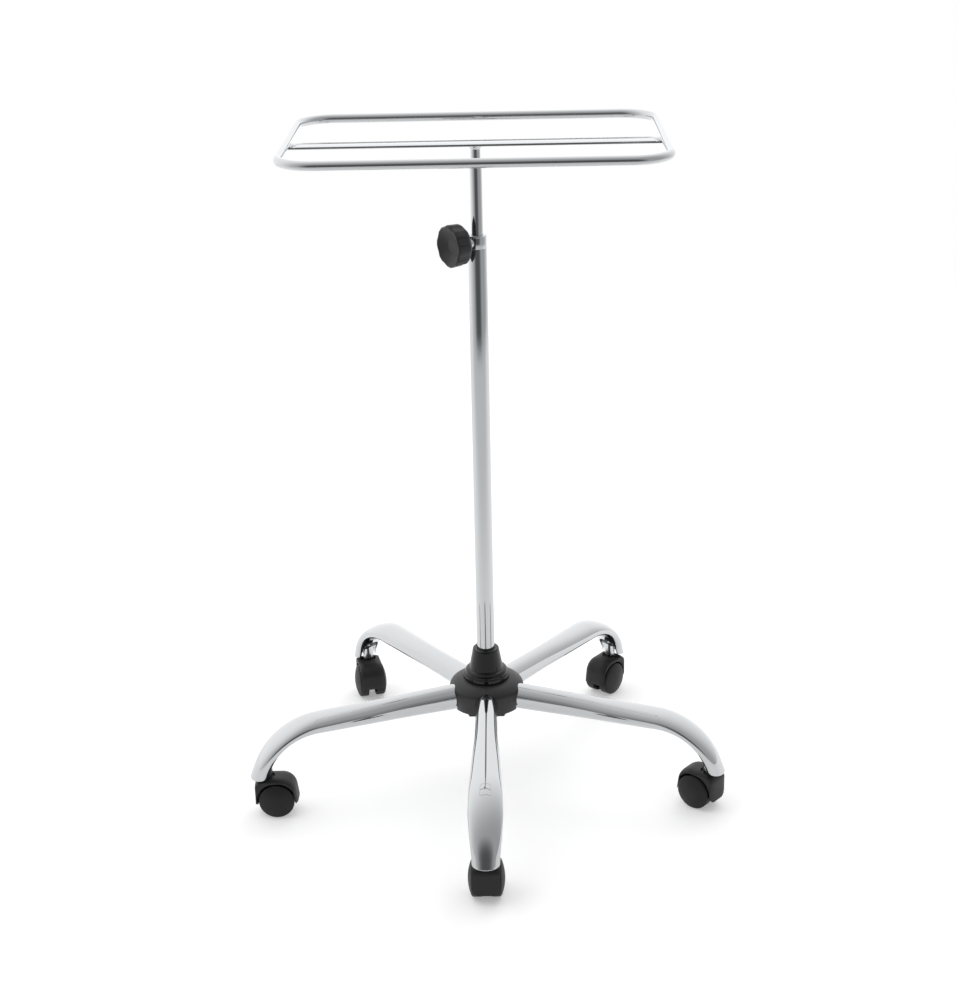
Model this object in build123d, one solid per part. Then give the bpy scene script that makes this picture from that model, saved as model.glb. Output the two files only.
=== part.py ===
from build123d import *
from math import cos, pi, radians, sin, sqrt, tan
import os

# Mayo instrument stand: a chromed ring that holds an instrument tray, on a mast that slides
# and turns in a column, on a five-legged base with twin-wheel casters. Millimetres, +Z up.
# The origin is on the floor, on the column's axis. +X runs along the tray's long side and
# the front leg points along -Y.

# Tray ring and the bar across it
TRAY_HALF_LENGTH = 240.3     # rod centreline, along X
TRAY_HALF_DEPTH = 159.2      # rod centreline, along Y
TRAY_ROD_R = 6.0
TRAY_CORNER_R = 48.0
TRAY_Z = 925.6
BAR_WIDTH = 30.0
BAR_THICK = 3.0
BAR_SADDLE = 1.0             # how deep the bar's ends cup the ring's side rods
BAR_GRIND_LENGTH = 11.0      # the bar's ends are ground a little lower beside the weld
BAR_GRIND_DEPTH = 0.4

# Mast
MAST_R = 8.0
MAST_WALL = 2.0
MAST_BOTTOM_Z = 374.0
NECK_R = 6.5                 # the mast is swaged down just under the bar
NECK_LENGTH = 17.0
NECK_TAPER = 7.0
WELD_HEIGHT = 5.0
WELD_REACH = 3.0
GLIDE_LENGTH = 34.0
GROOVE_WIDTH = 4.0
GROOVE_DEPTH = 1.0

# Column
COLUMN_R = 12.5
COLUMN_WALL = 1.5
COLLAR_TOP_Z = 800.1
COLLAR_HEIGHT = 17.0
COLLAR_SPIGOT = 23.0
RUN = 0.05                   # radial running clearance

# Height clamp
CLAMP_Z = 791.0
CLAMP_HEADING = 214.8        # degrees about Z, seen from above
STUD_R = 4.0
BOSS_R = 7.5
BOSS_END = 21.0              # distances from the column's axis, along the clamp
STUD_START = 10.4
STUD_END = 38.0
KNOB_BACK = 26.5
KNOB_FRONT = 46.0
KNOB_R = 28.0
KNOB_LOBES = 8
KNOB_NECK_R = 9.0
KNOB_NECK_START = 22.5
PAD_R = 3.7
PAD_GAP = 0.3                # free air between the pad and the mast when clamped lightly

# Hub
HUB_APOTHEM = 34.0
HUB_BOTTOM_Z = 110.0
HUB_TOP_Z = 150.0
HUB_FLOOR = 6.0              # web under the column tube
COLLET_R = 17.0
COLLET_TOP_Z = 157.0
BOLT_R = 5.0
COVER_WALL = 2.5
COVER_TOP_Z = 158.5
COVER_BOTTOM_Z = 119.5
COVER_SHOULDER_R = 52.6
COVER_SHOULDER_Z = 146.0
COVER_SKIRT_R = 51.8
COVER_GAP = 0.7              # between a leg and its notch in the cover
CONE_TOP_Z = 203.2

# Legs: an oval tube that is tall at the hub and flat in the bend
LEG_COUNT = 5
LEG_FALL = 1.5               # degrees below level, hub to bend
LEG_BEND_START_R = 249.2
LEG_BEND_START_Z = 127.6
LEG_BEND_R = 90.0
LEG_TIP_ANGLE = 69.1         # degrees below level after the bend
LEG_TIP_LENGTH = 10.8
LEG_WALL = 1.5
TIP_CUT = 8.5                # degrees that the open end is off level
NOTCH_WIDTH = 26.0
NOTCH_TOP_Z = 91.0

# Casters, 50 mm twin wheel
STEM_RADIUS = 325.5          # from the column's axis to each caster's swivel axis
TRAIL = 14.0                 # from the swivel axis to the axle
WHEEL_R = 25.0
WHEEL_INNER = 6.5            # distances from the caster's middle plane, along the axle
WHEEL_OUTER = 23.8
AXLE_R = 3.0
HOOD_HALF = 17.5
HOOD_WALL = 2.4
HOOD_STEM_X = 30.6           # upright wall on the stem's side, from the axle
HOOD_TOP = 32.0              # flat top above the axle
HOOD_CORNER = 12.0           # radius between the two
HOOD_TAIL_R = 31.9
HOOD_CROWN = 2.2             # how much lower the top is at the hood's two faces
HOOD_STEM_Z = -9.0           # lower ends of the walls, from the axle
HOOD_TAIL_Z = -3.0
HOOD_WEB_HALF = 5.5
STEM_SHANK_R = 4.0
STEM_R = 5.4
SOCKET_BORE_R = 5.7
SOCKET_BOTTOM_Z = 56.5
SOCKET_TOP_Z = 79.0
PLATE_THICK = 3.0

# Worked out from the above
BAR_UNDERSIDE_Z = TRAY_Z - TRAY_ROD_R + BAR_SADDLE - BAR_THICK
LEG_HUB_Z = LEG_BEND_START_Z + (LEG_BEND_START_R - HUB_APOTHEM) * tan(radians(LEG_FALL))
LEG_STRAIGHT = (LEG_BEND_START_R - HUB_APOTHEM) / cos(radians(LEG_FALL))
LEG_ARC = LEG_BEND_R * radians(LEG_TIP_ANGLE - LEG_FALL)
LEG_LENGTH = LEG_STRAIGHT + LEG_ARC + LEG_TIP_LENGTH

# Leg name, heading of the leg, heading in which its caster trails
LEGS = [
    ("front", -90.0, 90.0),
    ("right", -18.0, 140.0),
    ("back_right", 54.0, 232.0),
    ("back_left", 126.0, 284.0),
    ("left", 198.0, 0.0),
]

LOW = (Align.CENTER, Align.CENTER, Align.MIN)


def post(radius, z_low, z_high):
    """A plain cylinder on the Z axis between two heights."""
    return Pos(0, 0, z_low) * Cylinder(radius, z_high - z_low, align=LOW)


def turned(points):
    """A piece turned about Z from its half profile of (radius, height) points."""
    outline = Polyline(*[(r, 0, z) for r, z in points], close=True)
    return revolve(make_face(outline), Axis.Z)


def along_clamp(shape):
    """Turns a shape built along +Z so that it runs out along the clamp's axis."""
    return Pos(0, 0, CLAMP_Z) * Rot(0, 0, CLAMP_HEADING) * Rot(0, 90, 0) * shape


def tray_ring():
    half = Plane.XY.offset(TRAY_Z)
    path = half * RectangleRounded(2 * TRAY_HALF_LENGTH, 2 * TRAY_HALF_DEPTH, TRAY_CORNER_R)
    start = Plane(origin=(0, -TRAY_HALF_DEPTH, TRAY_Z), x_dir=(0, 1, 0), z_dir=(1, 0, 0))
    return sweep(start * Circle(TRAY_ROD_R), path.wire())


def cross_bar():
    top = TRAY_Z - TRAY_ROD_R + BAR_SADDLE
    length = 2 * (TRAY_HALF_LENGTH + TRAY_ROD_R / 2)
    bar = Pos(0, 0, top - BAR_THICK) * Box(length, BAR_WIDTH, BAR_THICK, align=LOW)
    ground = Box(2 * BAR_GRIND_LENGTH, 2 * BAR_WIDTH, 2 * BAR_GRIND_DEPTH)
    rod = Cylinder(TRAY_ROD_R, 2 * BAR_WIDTH)
    for side in (-1, 1):
        bar -= Pos(side * TRAY_HALF_LENGTH, 0, top) * ground
        bar -= Pos(side * TRAY_HALF_LENGTH, 0, TRAY_Z) * Rot(90, 0, 0) * rod
    return bar


def mast_rod():
    top = BAR_UNDERSIDE_Z
    neck_end = top - NECK_LENGTH
    groove = MAST_BOTTOM_Z + GLIDE_LENGTH / 2
    outline = [
        (MAST_R - MAST_WALL, MAST_BOTTOM_Z),
        (MAST_R - 0.6, MAST_BOTTOM_Z),
        (MAST_R, MAST_BOTTOM_Z + 0.6),
        (MAST_R, groove - GROOVE_WIDTH / 2),
        (MAST_R - GROOVE_DEPTH, groove - GROOVE_WIDTH / 2),
        (MAST_R - GROOVE_DEPTH, groove + GROOVE_WIDTH / 2),
        (MAST_R, groove + GROOVE_WIDTH / 2),
        (MAST_R, neck_end - NECK_TAPER),
        (NECK_R, neck_end),
        (NECK_R, top),
        (NECK_R - MAST_WALL, top),
        (NECK_R - MAST_WALL, neck_end),
        (MAST_R - MAST_WALL, neck_end - NECK_TAPER),
    ]
    return turned(outline)


def mast_weld():
    """The bead that flares from the mast's neck to the underside of the bar."""
    top = BAR_UNDERSIDE_Z
    return turned([
        (NECK_R, top - WELD_HEIGHT),
        (NECK_R + 0.12 * WELD_REACH, top - 0.72 * WELD_HEIGHT),
        (NECK_R + 0.38 * WELD_REACH, top - 0.38 * WELD_HEIGHT),
        (NECK_R + WELD_REACH, top),
        (NECK_R, top),
    ])


def glide_bush():
    """The nylon bush snapped on the mast's lower end, which runs in the column."""
    outer = COLUMN_R - COLUMN_WALL - RUN
    bore = MAST_R + RUN
    low = MAST_BOTTOM_Z + 1.0
    high = MAST_BOTTOM_Z + GLIDE_LENGTH
    groove = MAST_BOTTOM_Z + GLIDE_LENGTH / 2
    rib = GROOVE_WIDTH / 2 - 0.2
    rib_r = MAST_R - GROOVE_DEPTH + RUN
    outline = [
        (bore, low),
        (outer - 1.0, low),
        (outer, low + 1.0),
        (outer, high - 1.0),
        (outer - 1.0, high),
        (bore, high),
        (bore, groove + rib),
        (rib_r, groove + rib),
        (rib_r, groove - rib),
        (bore, groove - rib),
    ]
    return turned(outline)


def column_tube():
    tube = post(COLUMN_R, HUB_BOTTOM_Z + HUB_FLOOR, COLLAR_TOP_Z - COLLAR_HEIGHT)
    return tube - post(COLUMN_R - COLUMN_WALL, HUB_BOTTOM_Z, COLLAR_TOP_Z)


def collar_bush():
    """The turned collar pressed into the column's mouth, which guides the mast."""
    seat = COLLAR_TOP_Z - COLLAR_HEIGHT
    bore = MAST_R + RUN
    spigot = COLUMN_R - COLUMN_WALL
    outline = [
        (bore, seat - COLLAR_SPIGOT),
        (spigot - 0.5, seat - COLLAR_SPIGOT),
        (spigot, seat - COLLAR_SPIGOT + 0.5),
        (spigot, seat),
        (COLUMN_R, seat),
        (COLUMN_R, COLLAR_TOP_Z - 2.6),
        (COLUMN_R - 0.5, COLLAR_TOP_Z - 2.1),
        (COLUMN_R, COLLAR_TOP_Z - 1.6),
        (COLUMN_R, COLLAR_TOP_Z - 0.7),
        (COLUMN_R - 0.7, COLLAR_TOP_Z),
        (bore + 0.8, COLLAR_TOP_Z),
        (bore, COLLAR_TOP_Z - 0.8),
    ]
    return turned(outline) - along_clamp(post(PAD_R + 0.4, 0, 2 * COLUMN_R))


def clamp_boss():
    """The weld nut on the collar's side, coped to it and tapped for the stud."""
    nut = post(BOSS_R, COLUMN_R - 3.0, BOSS_END)
    nut = chamfer(nut.edges().sort_by(Axis.Z)[-1], 1.0)
    boss = along_clamp(nut) - post(COLUMN_R, CLAMP_Z - 20, CLAMP_Z + 20)
    return boss - along_clamp(post(STUD_R + RUN, 0, 2 * BOSS_END))


def clamp_stud():
    stud = post(STUD_R, STUD_START, STUD_END)
    stud = chamfer(stud.edges().sort_by(Axis.Z)[0], 0.8)
    stud -= post(PAD_R / 2 + RUN, STUD_START - 1, STUD_START + 4.0)
    return along_clamp(stud)


def clamp_pad():
    """The brass tip that bears on the mast and does not turn with the stud."""
    face = MAST_R + PAD_GAP
    back = STUD_START - RUN
    pad = post(PAD_R, face, back) + post(PAD_R / 2, back, STUD_START + 3.5)
    return along_clamp(pad)


def clamp_knob():
    """The lobed knob: a dished face, a skirt and a neck moulded round the stud."""
    lobe_reach = 60.0
    lobe_depth = 1.6
    outline = [
        (0, KNOB_FRONT - 5.0),
        (9.0, KNOB_FRONT - 5.0),
        (14.0, KNOB_FRONT - 2.6),
        (21.5, KNOB_FRONT - 0.4),
        (23.0, KNOB_FRONT),
        (25.2, KNOB_FRONT),
        (KNOB_R - 0.6, KNOB_FRONT - 1.6),
        (KNOB_R, KNOB_FRONT - 3.2),
        (KNOB_R - 0.6, KNOB_BACK + 3.0),
        (KNOB_R - 3.2, KNOB_BACK),
        (18.0, KNOB_BACK),
        (KNOB_NECK_R + 1.6, KNOB_BACK - 1.8),
        (KNOB_NECK_R, KNOB_NECK_START),
        (0, KNOB_NECK_START),
    ]
    knob = turned(outline) - post(STUD_R, KNOB_NECK_START - 1, STUD_END)
    for step in range(KNOB_LOBES):
        hollow = post(lobe_reach, KNOB_BACK - 1, KNOB_FRONT + 1)
        knob -= Rot(0, 0, (step + 0.5) * 360 / KNOB_LOBES) * Pos(
            KNOB_R - lobe_depth + lobe_reach, 0, 0) * hollow
    return along_clamp(knob)


def hub_core():
    """The welded hub: five flats for the legs and a bored seat for the column."""
    flats = RegularPolygon(HUB_APOTHEM, LEG_COUNT, major_radius=False, rotation=-90 + 36)
    core = Pos(0, 0, HUB_BOTTOM_Z) * extrude(flats, HUB_TOP_Z - HUB_BOTTOM_Z)
    core += post(COLLET_R, HUB_TOP_Z, COLLET_TOP_Z)
    core -= post(COLUMN_R, HUB_BOTTOM_Z + HUB_FLOOR, COLLET_TOP_Z + 1)
    return core - post(BOLT_R + 0.2, HUB_BOTTOM_Z - 1, HUB_TOP_Z)


def column_plug():
    """The threaded plug welded in the column's foot, which the hub bolt pulls down."""
    low = HUB_BOTTOM_Z + HUB_FLOOR + 2.0
    plug = post(COLUMN_R - COLUMN_WALL, low, low + 26.0)
    plug = chamfer(plug.edges().group_by(Axis.Z)[0], 1.0)
    return plug - post(BOLT_R, low - 1, low + 27.0)


def hub_washer():
    return post(15.0, HUB_BOTTOM_Z - 2.5, HUB_BOTTOM_Z) - post(BOLT_R + 0.2, 0, HUB_BOTTOM_Z + 1)


def hub_bolt():
    head_top = HUB_BOTTOM_Z - 2.5
    head = extrude(RegularPolygon(8.5, 6, major_radius=False), 6.4)
    return Pos(0, 0, head_top - 6.4) * head + post(BOLT_R, head_top, HUB_BOTTOM_Z + 30.0)


def hub_cover():
    """The moulded dome over the hub, with an arched notch for each leg."""
    def solid_dome(inset):
        low = COVER_BOTTOM_Z - (1.0 if inset else 0.0)
        drop = 0.5 * inset
        return turned([
            (0, low),
            (COVER_SKIRT_R - inset, low),
            (COVER_SHOULDER_R - inset, COVER_SHOULDER_Z - 9.0),
            (COVER_SHOULDER_R - 0.5 - inset, COVER_SHOULDER_Z - 3.0 - drop),
            (COVER_SHOULDER_R - 1.4 - inset, COVER_SHOULDER_Z + 0.6 - drop),
            (COVER_SHOULDER_R - 3.0 - inset, COVER_SHOULDER_Z + 3.4 - drop),
            (46.8 - inset, 151.3 - inset),
            (42.4 - 0.6 * inset, 154.6 - inset),
            (37.8 - 0.4 * inset, 156.9 - inset),
            (33.0 - 0.3 * inset, COVER_TOP_Z - inset),
            (0, COVER_TOP_Z - inset),
        ])

    cover = solid_dome(0.0) - solid_dome(COVER_WALL)
    cover -= post(COLLET_R + 0.5, COVER_TOP_Z - 10, COVER_TOP_Z + 1)
    for _, heading, _ in LEGS:
        height, width = leg_section(0.08)
        arch = Ellipse(width + COVER_GAP, height + COVER_GAP)
        slot = Pos(0, -30) * Rectangle(2 * (width + COVER_GAP), 60)
        middle = LEG_HUB_Z - 15.0 * tan(radians(LEG_FALL))
        face = Plane(origin=(HUB_APOTHEM - 6, 0, middle), x_dir=(0, 1, 0), z_dir=(1, 0, 0))
        notch = extrude(face * (arch + slot), 40)
        cover -= Rot(0, 0, heading) * notch
    return cover


def cone_cover():
    """The glossy stepped cone that hides where the column enters the dome."""
    base = COVER_TOP_Z
    bore = COLUMN_R + 0.1
    outline = [
        (COLLET_R + 1.5, base),
        (33.0, base),
        (33.0, base + 5.6),
        (32.2, base + 6.6),
        (30.6, base + 6.6),
        (30.6, base + 8.6),
        (29.4, base + 11.2),
        (27.0, base + 13.0),
        (24.4, base + 13.8),
        (23.7, base + 15.4),
        (18.9, CONE_TOP_Z - 3.0),
        (18.2, CONE_TOP_Z - 0.9),
        (16.8, CONE_TOP_Z),
        (bore + 0.8, CONE_TOP_Z),
        (bore, CONE_TOP_Z - 0.8),
        (bore, CONE_TOP_Z - 5.0),
        (15.6, CONE_TOP_Z - 6.0),
        (COLLET_R + 1.5, base + 20.0),
    ]
    return turned(outline)


def leg_section(share):
    """Half height and half width of the oval, by share of the leg's length."""
    marks = [0.0, 0.30, 0.48, 0.648, 0.73, 0.81, 0.89, 1.0, 1.1]
    heights = [19.0, 16.6, 15.1, 13.8, 11.4, 9.8, 10.4, 11.6, 11.6]
    widths = [14.8, 15.8, 19.6, 21.8, 23.0, 23.3, 21.6, 17.9, 17.9]
    for low, high, k in zip(marks, marks[1:], range(len(marks))):
        if share <= high:
            part = (share - low) / (high - low)
            height = heights[k] + part * (heights[k + 1] - heights[k])
            width = widths[k] + part * (widths[k + 1] - widths[k])
            return height, width
    return heights[-1], widths[-1]


def leg_path(run):
    """Centreline point (radius, height) and slope in degrees, by distance along the leg."""
    first = radians(LEG_FALL)
    if run <= LEG_STRAIGHT:
        return HUB_APOTHEM + run * cos(first), LEG_HUB_Z - run * sin(first), LEG_FALL
    slope = min(first + (run - LEG_STRAIGHT) / LEG_BEND_R, radians(LEG_TIP_ANGLE))
    r = LEG_BEND_START_R + LEG_BEND_R * (sin(slope) - sin(first))
    z = LEG_BEND_START_Z - LEG_BEND_R * (cos(first) - cos(slope))
    past = max(0.0, run - LEG_STRAIGHT - LEG_ARC)
    return r + past * cos(slope), z - past * sin(slope), slope * 180 / pi


def leg_oval(run, inset):
    """The leg's section square to its path, drawn in by the inset; upright at the hub."""
    r, z, slope = leg_path(run)
    height, width = leg_section(run / LEG_LENGTH)
    if run == 0:
        slope = 0.0
    forward = Vector(cos(radians(slope)), 0, -sin(radians(slope)))
    place = Plane(origin=(r, 0, z), x_dir=(0, 1, 0), z_dir=forward)
    return place * Ellipse(width - inset, height - inset)


def leg_straight(inset):
    steps = 8
    return loft([leg_oval(LEG_STRAIGHT * k / steps, inset) for k in range(steps + 1)], ruled=True)


def leg_bend(inset):
    """The bend and a little more than the tip, which the end cut trims."""
    steps = 9
    reach = LEG_LENGTH + 14.0 - LEG_STRAIGHT
    ovals = [leg_oval(LEG_STRAIGHT + reach * k / steps, inset) for k in range(steps + 1)]
    return loft(ovals, ruled=True)


def end_cut():
    """The half space under the leg's open end, nearly level with the floor."""
    r, z, _ = leg_path(LEG_LENGTH)
    return Pos(r, 0, z) * Rot(0, TIP_CUT, 0) * Pos(0, 0, -30) * Box(120, 120, 60)


def notch_prism():
    """The arched window in the tip's inner wall, where the caster's socket sits."""
    spring = NOTCH_TOP_Z - NOTCH_WIDTH / 2
    arch = Pos(0, spring) * Circle(NOTCH_WIDTH / 2)
    arch += Pos(0, spring - 25) * Rectangle(NOTCH_WIDTH, 50)
    face = Plane(origin=(STEM_RADIUS - 45, 0, 0), x_dir=(0, 1, 0), z_dir=(1, 0, 0))
    return extrude(face * arch, 47)


def leg():
    tube = leg_straight(0.0) - leg_straight(LEG_WALL)
    tip = leg_bend(0.0) - leg_bend(LEG_WALL) - end_cut() - notch_prism()
    return tube + tip


def stem_socket():
    """The sleeve for the caster's stem, on a plate that fills the leg's tip."""
    slab = Pos(STEM_RADIUS, 0, SOCKET_TOP_Z - PLATE_THICK) * Box(60, 60, PLATE_THICK, align=LOW)
    plate = leg_bend(LEG_WALL) & slab
    plate -= Pos(STEM_RADIUS - 39, 0, 0) * Box(60, 60, 300)
    sleeve = turned([
        (SOCKET_BORE_R, SOCKET_BOTTOM_Z),
        (8.2, SOCKET_BOTTOM_Z),
        (8.6, SOCKET_BOTTOM_Z + 0.8),
        (9.3, SOCKET_TOP_Z),
        (SOCKET_BORE_R, SOCKET_TOP_Z),
    ])
    bore = post(SOCKET_BORE_R, SOCKET_BOTTOM_Z - 1, SOCKET_TOP_Z + 1)
    return plate + Pos(STEM_RADIUS, 0, 0) * sleeve - Pos(STEM_RADIUS, 0, 0) * bore


def caster_stem():
    """The steel stem: domed head, ring groove, shoulder and the shank in the hood."""
    groove = SOCKET_TOP_Z - 8.0
    outline = [
        (0, 33.0),
        (STEM_SHANK_R - 0.8, 33.0),
        (STEM_SHANK_R, 33.8),
        (STEM_SHANK_R, 54.7),
        (7.0, 54.7),
        (7.0, SOCKET_BOTTOM_Z),
        (STEM_R, SOCKET_BOTTOM_Z),
        (STEM_R, groove),
        (STEM_R - 0.9, groove),
        (STEM_R - 0.9, groove + 4.0),
        (STEM_R, groove + 4.0),
        (STEM_R, SOCKET_TOP_Z + 1.0),
        (4.3, SOCKET_TOP_Z + 2.5),
        (4.3, SOCKET_TOP_Z + 5.0),
        (3.0, SOCKET_TOP_Z + 6.8),
        (0, SOCKET_TOP_Z + 7.4),
    ]
    return turned(outline)


def stem_ring():
    """The split spring ring that snaps the stem into its socket."""
    low = SOCKET_TOP_Z - 7.8
    ring = post(SOCKET_BORE_R - 0.02, low, low + 3.6) - post(STEM_R - 0.85, low - 1, low + 5)
    return ring - Pos(STEM_R, 0, low) * Box(4, 3, 20)


def round_the_axle(outline):
    """Revolves a face drawn as (distance along the axle, radius) about the axle."""
    axle = Axis((TRAIL, 0, WHEEL_R), (0, 1, 0))
    return revolve(outline, axle)


def on_axle(half, radius):
    """A point of an axle profile, drawn upwards from the axle."""
    return (TRAIL, half, WHEEL_R + radius)


def hood_outline(half, drop, wall, low):
    """The hood seen along the axle: upright at the stem, square on top, round to the tail."""
    back = HOOD_STEM_X - wall
    top = HOOD_TOP - drop - wall
    bend = HOOD_CORNER - wall
    tail = HOOD_TAIL_R - drop - wall

    def at(x, z):
        return (TRAIL + x, half, WHEEL_R + z)

    slant = bend * (1 - sqrt(0.5))
    sides = Line(at(-back, low), at(-back, top - bend))
    sides += ThreePointArc(
        at(-back, top - bend), at(-back + slant, top - slant), at(-back + bend, top))
    sides += Line(at(-back + bend, top), at(2, top))
    sides += ThreePointArc(
        at(2, top), at(tail * cos(radians(47)), tail * sin(radians(47))), at(tail - 0.6, HOOD_TAIL_Z))
    sides += Polyline(at(tail - 0.6, HOOD_TAIL_Z), at(tail - 0.6, low), at(-back, low))
    return make_face(sides)


def caster_hood():
    """The moulded fork: a crowned fender over both wheels, a web and the stem boss."""
    stations = [(-HOOD_HALF, HOOD_CROWN), (-9.0, 0.5), (0, 0), (9.0, 0.5), (HOOD_HALF, HOOD_CROWN)]
    fender = loft([hood_outline(half, drop, 0, HOOD_STEM_Z) for half, drop in stations], ruled=True)
    fender -= extrude(hood_outline(0, 1.0, HOOD_WALL, -20.0), 30, both=True)
    fender -= Pos(TRAIL + 40, 0, WHEEL_R + HOOD_TAIL_Z) * Box(
        60, 60, 30, align=(Align.CENTER, Align.CENTER, Align.MAX))
    web = extrude(hood_outline(0, 1.0, HOOD_WALL - 0.8, -9.0), HOOD_WEB_HALF, both=True)
    boss = post(8.0, 50.0, 54.5) + post(13.0, 51.5, 54.5)
    hood = fender + web - post(11.5, 54.5, 62.0) + boss
    hood -= post(STEM_SHANK_R + RUN, 32.0, 60.0)
    return hood - Pos(TRAIL, 0, WHEEL_R) * Rot(90, 0, 0) * Cylinder(AXLE_R, 60)


def caster_axle():
    pin = Cylinder(AXLE_R, 2 * 17.0)
    pin = chamfer(pin.edges().filter_by(GeomType.CIRCLE), 0.6)
    return Pos(TRAIL, 0, WHEEL_R) * Rot(90, 0, 0) * pin


def caster_wheel(side):
    """One cup-shaped wheel: tread, domed face, hollow back and hub."""
    bore = AXLE_R + RUN
    profile = [
        (WHEEL_OUTER, 0),
        (17.6, 0),
        (17.6, bore),
        (5.9, bore),
        (5.9, 6.5),
        (20.6, 6.5),
        (17.4, 20.6),
        (15.6, 21.8),
        (WHEEL_INNER, 21.8),
        (WHEEL_INNER, WHEEL_R - 0.6),
        (WHEEL_INNER + 0.6, WHEEL_R),
        (15.5, WHEEL_R),
        (17.4, 24.6),
        (19.0, 23.6),
        (20.0, 21.6),
        (22.1, 14.6),
        (WHEEL_OUTER - 0.4, 7.0),
    ]
    points = [on_axle(along * side, radius) for along, radius in profile]
    return round_the_axle(make_face(Polyline(*points, close=True)))


def at_leg(shape, heading):
    return Rot(0, 0, heading) * shape


def at_caster(shape, heading, trail_heading):
    x = STEM_RADIUS * cos(radians(heading))
    y = STEM_RADIUS * sin(radians(heading))
    return Pos(x, y, 0) * Rot(0, 0, trail_heading) * shape


def build():
    nodes = {
        "tray_ring": tray_ring(),
        "cross_bar": cross_bar(),
        "mast_rod": mast_rod(),
        "mast_weld": mast_weld(),
        "glide_bush": glide_bush(),
        "column_tube": column_tube(),
        "collar_bush": collar_bush(),
        "clamp_boss": clamp_boss(),
        "clamp_pad": clamp_pad(),
        "clamp_stud": clamp_stud(),
        "clamp_knob": clamp_knob(),
        "hub_core": hub_core(),
        "column_plug": column_plug(),
        "hub_washer": hub_washer(),
        "hub_bolt": hub_bolt(),
        "hub_cover": hub_cover(),
        "cone_cover": cone_cover(),
    }
    one_leg = leg()
    one_socket = stem_socket()
    caster = {
        "caster_hood": caster_hood(),
        "caster_axle": caster_axle(),
        "caster_wheel_a": caster_wheel(1),
        "caster_wheel_b": caster_wheel(-1),
        "caster_stem": caster_stem(),
        "stem_ring": stem_ring(),
    }
    for name, heading, trail_heading in LEGS:
        nodes[f"leg_{name}"] = at_leg(one_leg, heading)
        nodes[f"stem_socket_{name}"] = at_leg(one_socket, heading)
        for piece, shape in caster.items():
            nodes[f"{piece}_{name}"] = at_caster(shape, heading, trail_heading)
    return nodes


os.makedirs("parts", exist_ok=True)
for node, shape in build().items():
    export_step(shape, f"parts/{node}.step")
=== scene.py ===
# Mayo instrument stand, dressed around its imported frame. Metres, +Z up, front leg along -Y.
import bpy
from math import atan2, cos, degrees, pi, radians, sin, sqrt, tan
from mathutils import Matrix, Vector, noise


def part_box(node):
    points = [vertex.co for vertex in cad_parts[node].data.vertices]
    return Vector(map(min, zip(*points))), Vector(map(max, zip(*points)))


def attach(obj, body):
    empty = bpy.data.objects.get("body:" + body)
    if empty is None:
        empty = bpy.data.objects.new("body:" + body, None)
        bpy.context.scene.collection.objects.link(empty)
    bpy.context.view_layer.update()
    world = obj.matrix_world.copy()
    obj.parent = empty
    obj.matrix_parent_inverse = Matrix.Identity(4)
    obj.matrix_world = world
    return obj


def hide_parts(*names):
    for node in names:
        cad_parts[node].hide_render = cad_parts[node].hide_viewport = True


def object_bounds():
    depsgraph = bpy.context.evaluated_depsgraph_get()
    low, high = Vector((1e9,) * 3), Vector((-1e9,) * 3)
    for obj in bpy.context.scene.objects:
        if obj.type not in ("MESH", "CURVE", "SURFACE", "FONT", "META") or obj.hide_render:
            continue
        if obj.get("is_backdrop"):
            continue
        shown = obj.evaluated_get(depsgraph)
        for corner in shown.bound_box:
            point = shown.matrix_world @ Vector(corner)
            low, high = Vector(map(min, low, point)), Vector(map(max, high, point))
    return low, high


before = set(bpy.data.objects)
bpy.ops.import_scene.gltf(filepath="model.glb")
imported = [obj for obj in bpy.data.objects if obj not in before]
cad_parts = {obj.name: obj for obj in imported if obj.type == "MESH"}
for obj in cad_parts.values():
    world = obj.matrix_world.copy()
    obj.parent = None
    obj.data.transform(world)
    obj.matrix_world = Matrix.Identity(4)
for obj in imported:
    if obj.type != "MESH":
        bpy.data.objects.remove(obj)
cad_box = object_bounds()
MM = 0.001


# The studio: a white paper floor in a pale room that is bright behind the stand and dim
# round the camera. Polished chrome shows little but this room, so it shapes every tube.
def linear(code):
    """An sRGB hex colour as linear RGBA."""
    parts = [int(code[i:i + 2], 16) / 255 for i in (1, 3, 5)]
    return [c / 12.92 if c <= 0.04045 else ((c + 0.055) / 1.055) ** 2.4 for c in parts] + [1.0]


def add(tree, kind, settings=None, links=None):
    """Adds a node with its settings, by socket or by property, and its links."""
    made = tree.nodes.new("ShaderNode" + kind)
    for key, value in (settings or {}).items():
        if isinstance(key, int) or key in made.inputs:
            made.inputs[key].default_value = value
        else:
            setattr(made, key, value)
    for key, source in (links or {}).items():
        tree.links.new(source, made.inputs[key])
    return made


def fresh_material(name):
    """A new material with an empty node tree."""
    material = bpy.data.materials.new(name)
    material.use_nodes = True
    material.node_tree.nodes.clear()
    return material, material.node_tree


scene = bpy.context.scene
scene.view_settings.view_transform = "Standard"
scene.world = bpy.data.worlds.new("pale_room")
scene.world.use_nodes = True
room = scene.world.node_tree
room.nodes.clear()
heading = add(room, "TexCoord")
BRIGHT_SIDE, CAMERA_SIDE = (-0.35, 0.93, 0.1), (0.0, -1.0, 0.0)
facing = add(room, "VectorMath", {"operation": "DOT_PRODUCT", 1: BRIGHT_SIDE},
             {0: heading.outputs["Generated"]})
walls = add(room, "MapRange",
            {"interpolation_type": "SMOOTHSTEP", 1: -0.7, 2: 0.9, 3: 0.5, 4: 1.3},
            {0: facing.outputs["Value"]})
ahead = add(room, "VectorMath", {"operation": "DOT_PRODUCT", 1: CAMERA_SIDE},
            {0: heading.outputs["Generated"]})
dim = add(room, "MapRange",
          {"interpolation_type": "SMOOTHSTEP", 1: 0.68, 2: 0.985, 3: 1.0, 4: 0.24},
          {0: ahead.outputs["Value"]})
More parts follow.
